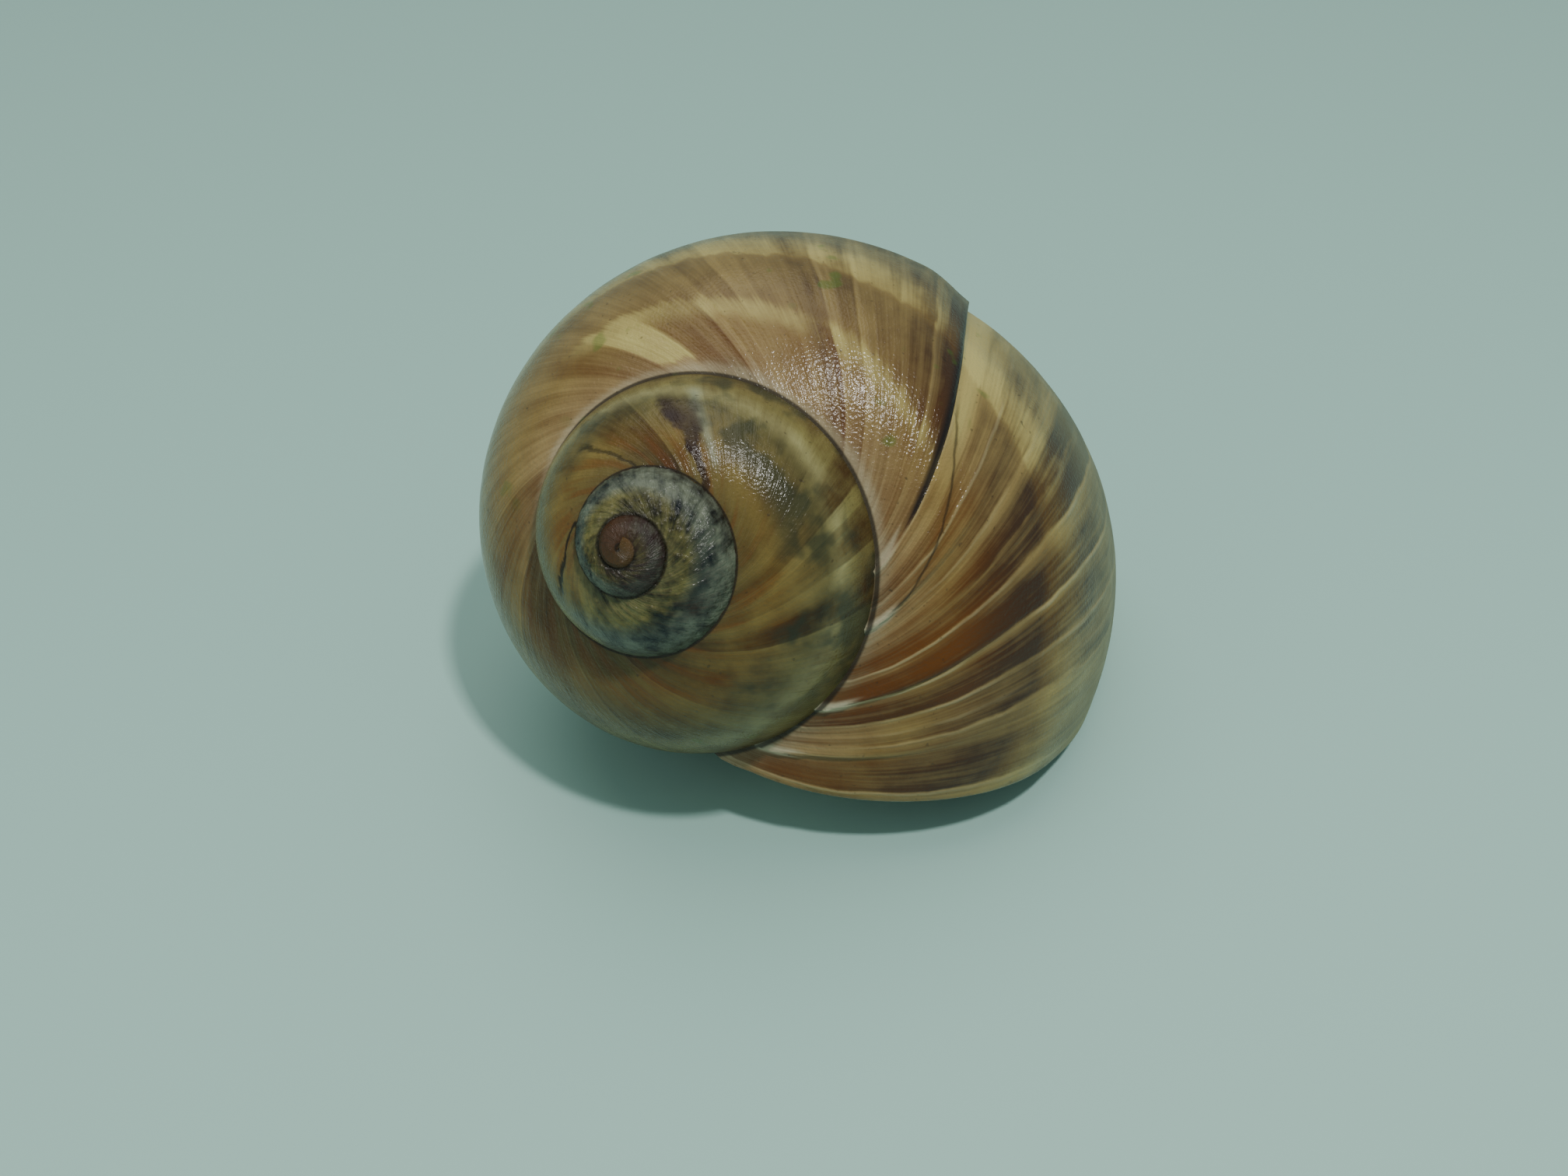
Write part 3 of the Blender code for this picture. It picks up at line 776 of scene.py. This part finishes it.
# Sides run from 0 outside, over the lip, to 1 in the hollow.
hollowLook = {
    "deep ages": (0.02, 0.30), "streaks": 0.22, "sides": (0.15, 0.5),
    "rim ages": (0.012, 0.006), "rim middle": 0.5, "rim sides": (0.5, 0.3), "rim from": 0.02, "rim": 0.8,
    "corner ways": (112.0, 80.0), "corner ages": (1.12, 0.95), "corner callus": 0.62, "callus": 0.28,
}


def addHollow(net, at, colour, last):
    # The hollow is plainer, with the streaks showing faintly through, and the lip has a warm rim.
    look = hollowLook
    hollow = net.mix(tint["inside"], tint["insideDeep"], at.age.rise(*look["deep ages"]))
    hollow = net.mix(hollow, last, look["streaks"])
    onRim = (at.side - look["rim middle"]).size().rise(*look["rim sides"])
    rim = at.age.rise(*look["rim ages"]).least(onRim) * at.side.above(look["rim from"])
    hollow = net.mix(hollow, tint["rim"], rim * look["rim"])
    colour = net.mix(colour, hollow, at.side.rise(*look["sides"]))
    corner = at.way.rise(*look["corner ways"]) * at.age.rise(*look["corner ages"])
    return net.mix(colour, tint["callus"], at.glazed * (look["callus"] + corner * look["corner callus"]))


skin = {
    "bump": 0.55, "bump height": 0.00016, "ior": 1.42, "specular": 0.36, "roughness": 0.20,
    "worn": 0.04, "low": 0.22, "low ways": (32.0, 60.0), "patch": 0.14, "dots": 0.1,
    "glaze": -0.05, "inside": -0.03,
}
# What is added to each noise, how high it then stands, and how much higher where the shell is worn.
grainHeights = {
    "fine": (0.0, 0.38, 0.0), "medium": (0.0, 0.7, 1.0), "spirals": (0.5, 0.15, 0.0),
    "pits": (0.5, 0.6, 0.0), "bumps": (0.5, 0.2, 3.4), "pocks": (0.0, 0.0, 2.5),
    "coarse": (0.0, 0.0, 2.0),
}
heightLook = {"calm medium": 0.2, "line": 0.5, "inside": 0.8, "glaze": 0.8}


def skinHeight(at, line):
    # Fine growth lines, fine spiral lines and pits catch the light.
    height = at.medium * at.calm * heightLook["calm medium"] + line * heightLook["line"]
    for name, (lift, plain, whenWorn) in grainHeights.items():
        height = height + (getattr(at, name) + lift) * (plain + at.worn * whenWorn)
    return height * (1.0 - at.side * heightLook["inside"]) * (1.0 - at.glazed * heightLook["glaze"])


def shellFinish():
    material = bpy.data.materials.new("shellGrowthStreaked")
    material.use_nodes = True
    net = Net(material.node_tree)
    at = readShell(net)
    depth, line = streakDepth(net, at)
    last = lastWhorlColour(net, at, depth, line)
    older = olderWhorlColour(net, at, depth)
    early = earlyWhorlColour(net, at, depth)
    colour = addMarks(net, at, whorlColours(net, at, last, older, early))
    colour = addSpots(net, at, addSuture(net, at, colour))
    colour = addHollow(net, at, colour, last)
    bump = net.field("ShaderNodeBump", 0, None, {
        "Strength": skin["bump"], "Distance": skin["bump height"], "Height": skinHeight(at, line)})
    rough = skin["roughness"] + at.worn * skin["worn"] + at.way.rise(*skin["low ways"]) * skin["low"] \
        + at.patch * skin["patch"] + at.dotted * skin["dots"] + at.glazed * skin["glaze"] \
        + at.side * skin["inside"]
    surface = material.node_tree.nodes["Principled BSDF"]
    surface.inputs["IOR"].default_value = skin["ior"]
    surface.inputs["Specular IOR Level"].default_value = skin["specular"]
    for name, field in (("Base Color", colour), ("Roughness", rough), ("Normal", bump)):
        material.node_tree.links.new(field.socket, surface.inputs[name])
    return material


floorPlate = {"half": 2.0, "colour": (160, 195, 187), "roughness": 0.55}


def addFloor():
    half = floorPlate["half"]
    floorMesh = bpy.data.meshes.new("floor")
    floorMesh.from_pydata([(-half, -half, 0), (half, -half, 0), (half, half, 0), (-half, half, 0)],
                          [], [(0, 1, 2, 3)])
    material = bpy.data.materials.new("floorPale")
    material.use_nodes = True
    surface = material.node_tree.nodes["Principled BSDF"]
    surface.inputs["Base Color"].default_value = hue(*floorPlate["colour"])
    surface.inputs["Roughness"].default_value = floorPlate["roughness"]
    floorMesh.materials.append(material)
    floor = bpy.data.objects.new("floor", floorMesh)
    bpy.context.collection.objects.link(floor)


view = {"target": (-0.00258, 0.00986, 0.00035), "distance": 0.1528, "pitch": 38.0,
        "roll": 0.0214, "lens": 39.56, "nearest": 0.005}


def addCamera():
    camera = bpy.data.objects.new("camera", bpy.data.cameras.new("camera"))
    bpy.context.collection.objects.link(camera)
    pitch = math.radians(view["pitch"])
    back = Vector((0.0, -math.cos(pitch), math.sin(pitch)))
    camera.location = Vector(view["target"]) + view["distance"] * back
    camera.rotation_euler = (Matrix.Rotation(math.pi / 2 - pitch, 3, "X")
                             @ Matrix.Rotation(view["roll"], 3, "Z")).to_euler()
    camera.data.lens = view["lens"]
    camera.data.clip_start = view["nearest"]
    bpy.context.scene.camera = camera


lamps = (
    {"name": "key", "place": (0.09, -0.17, 0.42), "width": 0.03, "watts": 1.3,
     "colour": (1.0, 0.99, 0.96)},
    {"name": "fill", "place": (-0.35, -0.35, 0.25), "width": 0.40, "watts": 0.3,
     "colour": (0.92, 1.0, 0.98)},
)
lampAim = (0.0, 0.0, 0.01)
overheadLight = {"strength": 0.78, "spread": 50.0, "tilt": (-15.0, -8.0), "colour": (1.0, 0.98, 0.94)}
studio = {"colour": (196, 226, 219), "strength": 0.50}


def addLights():
    for setting in lamps:
        lamp = bpy.data.lights.new(setting["name"], "AREA")
        lamp.size = setting["width"]
        lamp.energy = setting["watts"]
        lamp.color = setting["colour"]
        holder = bpy.data.objects.new(setting["name"], lamp)
        holder.location = setting["place"]
        aim = Vector(lampAim) - holder.location
        holder.rotation_euler = aim.to_track_quat("-Z", "Y").to_euler()
        bpy.context.collection.objects.link(holder)
    sky = bpy.data.lights.new("overhead", "SUN")
    sky.energy = overheadLight["strength"]
    sky.angle = math.radians(overheadLight["spread"])
    sky.color = overheadLight["colour"]
    overhead = bpy.data.objects.new("overhead", sky)
    tiltX, tiltY = overheadLight["tilt"]
    overhead.rotation_euler = (math.radians(tiltX), math.radians(tiltY), 0.0)
    bpy.context.collection.objects.link(overhead)
    world = bpy.data.worlds.new("studio")
    world.use_nodes = True
    background = world.node_tree.nodes["Background"]
    background.inputs["Color"].default_value = hue(*studio["colour"])
    background.inputs["Strength"].default_value = studio["strength"]
    bpy.context.scene.world = world


finish = shellFinish()
print("finish built:", len(finish.node_tree.nodes), "nodes")
mesh = growShell(finish)
shellSkin = bpy.data.objects.new("shellSkin", mesh)
bpy.context.collection.objects.link(shellSkin)
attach(shellSkin, "root")
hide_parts("shell")
print("shell grown:", len(mesh.vertices), "points,", len(mesh.polygons), "faces")
addFloor()
print("floor laid")
addCamera()
addLights()
print("camera and lights set up")
